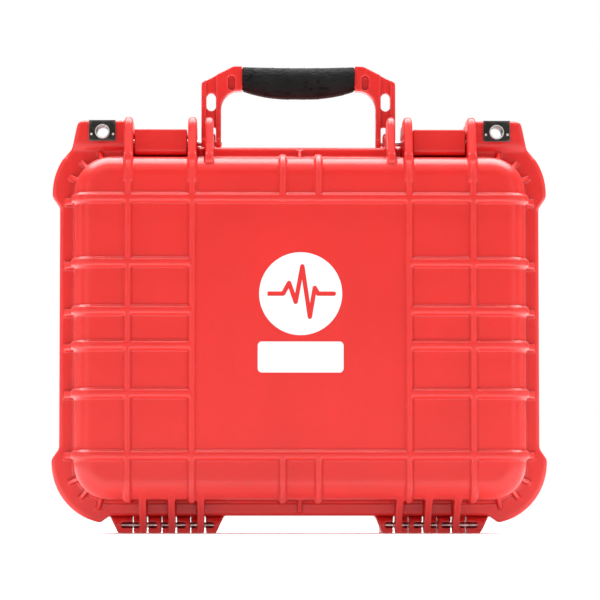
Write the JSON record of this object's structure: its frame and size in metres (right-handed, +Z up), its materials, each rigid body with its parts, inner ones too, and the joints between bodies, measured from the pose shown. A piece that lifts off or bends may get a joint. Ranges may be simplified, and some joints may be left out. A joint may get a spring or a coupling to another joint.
{
  "type": "portable defibrillator in carry case",
  "caption": "Portable defibrillator in a hinged, foam-lined hard carry case with latches, a folding handle and padlock eyelets.",
  "frame": {"origin": "centre of the bounding box at its bottom, where the upright case stands on its hinge side", "axes": "+X across the width, to the right when facing the lid; +Y from the lid through to the back of the base; +Z up"},
  "size_m": [0.363, 0.1572, 0.3458],
  "materials": {
    "case_red": "satin",
    "pin_steel": "satin",
    "plate_steel": "satin",
    "grip_rubber": "matte",
    "seal_rubber": "matte",
    "valve_black": "matte",
    "membrane_white": "matte",
    "foam_black": "matte",
    "mark_white": "satin",
    "unit_cream": "matte",
    "unit_charcoal": "matte",
    "button_green": "satin",
    "button_orange": "satin",
    "button_blue": "satin",
    "window_glass": "gloss",
    "display_dark": "gloss",
    "lens_green": "gloss",
    "board_green": "satin",
    "capacitor_blue": "satin",
    "transformer_ferrite": "matte",
    "relay_white": "satin",
    "battery_grey": "matte",
    "contact_brass": "polished",
    "lead_white": "satin",
    "pouch_foil": "satin"
  },
  "bodies": {
    "base": {"base_shell": "case_red", "hinge_pins": "pin_steel", "catch_pins": "pin_steel", "base_padlock_plates": "plate_steel", "purge_valve_body": "valve_black", "purge_valve_washer": "seal_rubber", "purge_valve_nut": "valve_black", "purge_valve_membrane": "membrane_white", "base_foam": "foam_black", "unit_front_case": "unit_cream", "unit_back_case": "unit_charcoal", "unit_gasket": "seal_rubber", "unit_case_screws": "pin_steel", "button_switches": "unit_charcoal", "display_window": "window_glass", "display_module": "display_dark", "status_lens": "lens_green", "speaker": "unit_charcoal", "main_board": "board_green", "board_screws": "pin_steel", "high_voltage_capacitor": "capacitor_blue", "charging_transformer": "transformer_ferrite", "discharge_relay": "relay_white", "battery_pack": "battery_grey", "battery_contacts": "contact_brass", "pads_socket": "unit_charcoal", "pads_plug": "lead_white", "pads_cable": "lead_white", "pads_pouch": "pouch_foil"},
    "lid": {"lid_shell": "case_red", "lid_seal": "seal_rubber", "latch_pins": "pin_steel", "lid_padlock_plates": "plate_steel", "lid_foam": "foam_black", "pulse_emblem": "mark_white", "label_plate": "mark_white"},
    "latch_left": {"latch_left": "case_red"},
    "latch_right": {"latch_right": "case_red"},
    "handle": {"handle_frame": "case_red", "handle_grip": "grip_rubber"},
    "power_button": {"power_button": "button_green"},
    "shock_button": {"shock_button": "button_orange"},
    "info_button": {"info_button": "button_blue"}
  },
  "joints": [
    {"name": "lid_hinge", "type": "hinge", "parent": "base", "child": "lid", "pos_m": [0, -0.03, 0.0062], "axis": [1, 0, 0], "range_deg": [0, 110]},
    {"name": "left_latch_pivot", "type": "hinge", "parent": "lid", "child": "latch_left", "pos_m": [-0.1018, -0.046, 0.2861], "axis": [1, 0, 0], "range_deg": [0, 80]},
    {"name": "right_latch_pivot", "type": "hinge", "parent": "lid", "child": "latch_right", "pos_m": [0.1018, -0.046, 0.2861], "axis": [1, 0, 0], "range_deg": [0, 80]},
    {"name": "handle_fold", "type": "hinge", "parent": "base", "child": "handle", "pos_m": [0, -0.015, 0.2885], "axis": [1, 0, 0], "range_deg": [-90, 15]},
    {"name": "power_button_press", "type": "slide", "parent": "base", "child": "power_button", "axis": [0, 1, 0], "range_m": [0, 0.0015], "stiffness_N_per_m": 400},
    {"name": "shock_button_press", "type": "slide", "parent": "base", "child": "shock_button", "axis": [0, 1, 0], "range_m": [0, 0.0015], "stiffness_N_per_m": 400},
    {"name": "info_button_press", "type": "slide", "parent": "base", "child": "info_button", "axis": [0, 1, 0], "range_m": [0, 0.0015], "stiffness_N_per_m": 400}
  ]
}
